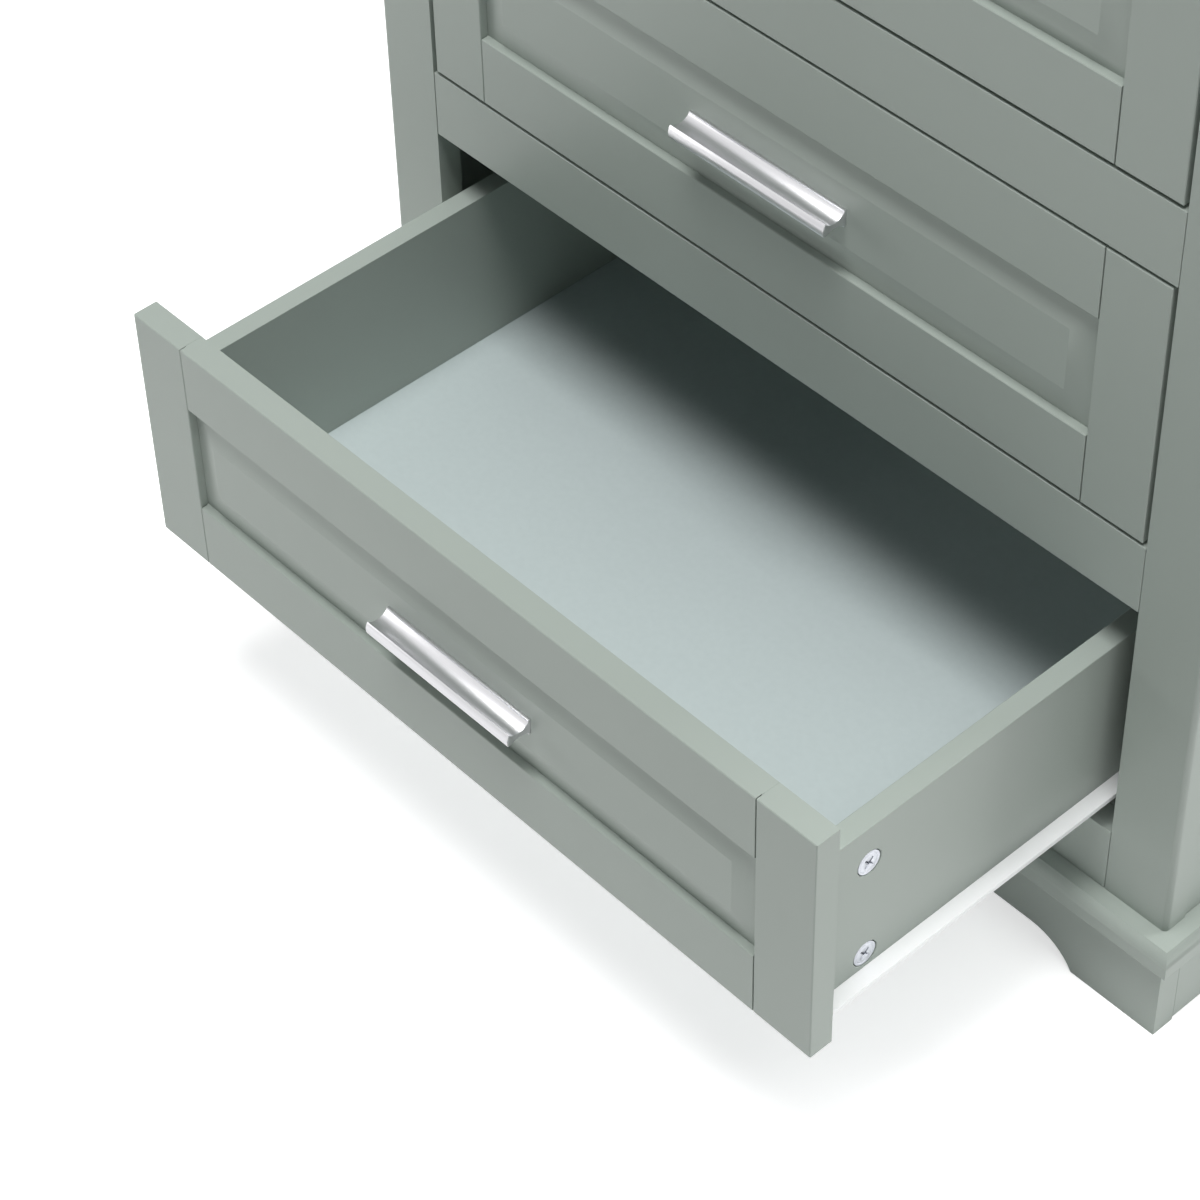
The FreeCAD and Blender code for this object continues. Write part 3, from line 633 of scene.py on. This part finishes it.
housing = block((CATCH_IN, -0.3787, CATCH_LOW), (CATCH_OUT, -0.3637, CATCH_HIGH))
tab = block((CATCH_IN, DOOR_BACK, 1.638), (CATCH_OUT, -0.3785, CATCH_HIGH))
carve(housing, [tab], "UNION")
carve(housing, [block((0.019, DOOR_BACK, 1.6262), (0.051, -0.3772, 1.6356)),
                block((0.025, -0.368, 1.650), (0.045, -0.362, 1.656))])
close(housing, moulded.material, 0.0007, 3)
pole = block((0.0195, -0.3786, 1.6268), (0.0505, -0.3774, 1.6284))
close(pole, zinc.material, 0.0002)
joined([housing, copy_of(housing, mirrored=True)], "catch_housings", "carcass",
       "catch_plastic", "magnetic_catches")
joined([copy_of(pole, (0, 0, rise), mirrored=side) for rise in (0, POLE_RISE)
        for side in (False, True)], "catch_poles", "carcass", "zinc")
for piece in (post_half, door_half, pin, striker, pole):
    bpy.data.objects.remove(piece)


# The shelf pins: plated pegs in the sides, each with a flat plate that the shelf lies on.

finish(["shelf_pins"], zinc, 0.0003)


# The studio: a white floor that runs out into white, under soft light from above, from behind
# on the right and low on the left. The camera is above and to the right.

FLOOR_NEAR = 0.62             # how white the floor is by itself at the cabinet's foot
FLOOR_MIRRORED = 0.5          # the share of that in what is mirrored
WHITE_FROM = 1.2              # how far away it starts to turn white, and has turned
WHITE_AT = 4.0
AIM = Vector((0, -0.5, 0.3))


def background_rays(recipe, mirrored):
    """One for the camera's rays, and that share for those that come by metal or glass."""
    camera, glossy, clear = [recipe.add("ShaderNodeLightPath", output="Is " + kind + " Ray")
                             for kind in ("Camera", "Glossy", "Transmission")]
    return camera.reckon("MAXIMUM", camera, glossy.reckon("MAXIMUM", glossy, clear) * mirrored)


class Sky(Recipe):
    """The world and its tree of nodes."""

    def __init__(self, name):
        self.world = bpy.data.worlds.new(name)
        self.world.use_nodes = True
        self.tree = self.world.node_tree


bpy.ops.mesh.primitive_plane_add(size=40, location=(0, 0, 0))
floor = bpy.context.object
floor.name = "studio_floor"
white = Recipe("studio white", Base_Color=(0.9, 0.9, 0.9, 1), Roughness=0.9,
               Specular_IOR_Level=0.1, Emission_Strength=1)
away = white.add("ShaderNodeVectorMath", {"operation": "LENGTH"}, {0: white.place()}, "Value")
glow = white.add("ShaderNodeMapRange", {"interpolation_type": "SMOOTHSTEP"},
                 {"Value": away, "From Min": WHITE_FROM, "From Max": WHITE_AT,
                  "To Min": FLOOR_NEAR, "To Max": 1})
white.feed("Emission Color", white.blend(background_rays(white, FLOOR_MIRRORED) * glow,
                                         (0, 0, 0, 1), (1, 1, 1, 1)))
floor.data.materials.append(white.material)

sky = Sky("studio")
bpy.context.scene.world = sky.world
light = sky.add("ShaderNodeBackground", {}, {"Color": (0.95, 0.98, 1, 1), "Strength": 0.1})
backdrop = sky.add("ShaderNodeBackground", {}, {"Color": (1, 1, 1, 1), "Strength": 1})
seen = sky.add("ShaderNodeMixShader", {}, {0: background_rays(sky, 1), 1: light, 2: backdrop})
sky.tree.links.new(seen.socket, sky.tree.nodes["World Output"].inputs["Surface"])

for name, place, size, power in (
        ("overhead", (0.25, -1.1, 4.5), 1.8, 155), ("behind_right", (1.5, 2.2, 1.5), 1.2, 60),
        ("low_left", (-1.4, -1.1, 0.5), 0.6, 5.5), ("upper_right", (1.5, -0.6, 2.8), 1.2, 12)):
    bpy.ops.object.light_add(type="AREA", location=place)
    lamp = bpy.context.object
    lamp.name = name
    lamp.data.size = size
    lamp.data.energy = power
    lamp.visible_camera = False
    lamp.rotation_euler = (AIM - Vector(place)).to_track_quat("-Z", "Y").to_euler()

bpy.ops.object.camera_add(location=(0.97276, -1.36529, 1.49022),
                          rotation=(0.77927591, 0.02052963, 0.82899554))
camera = bpy.context.object
camera.data.lens = 107.1275
camera.data.sensor_width = 36
bpy.context.scene.camera = camera
bpy.context.scene.view_settings.view_transform = "Standard"
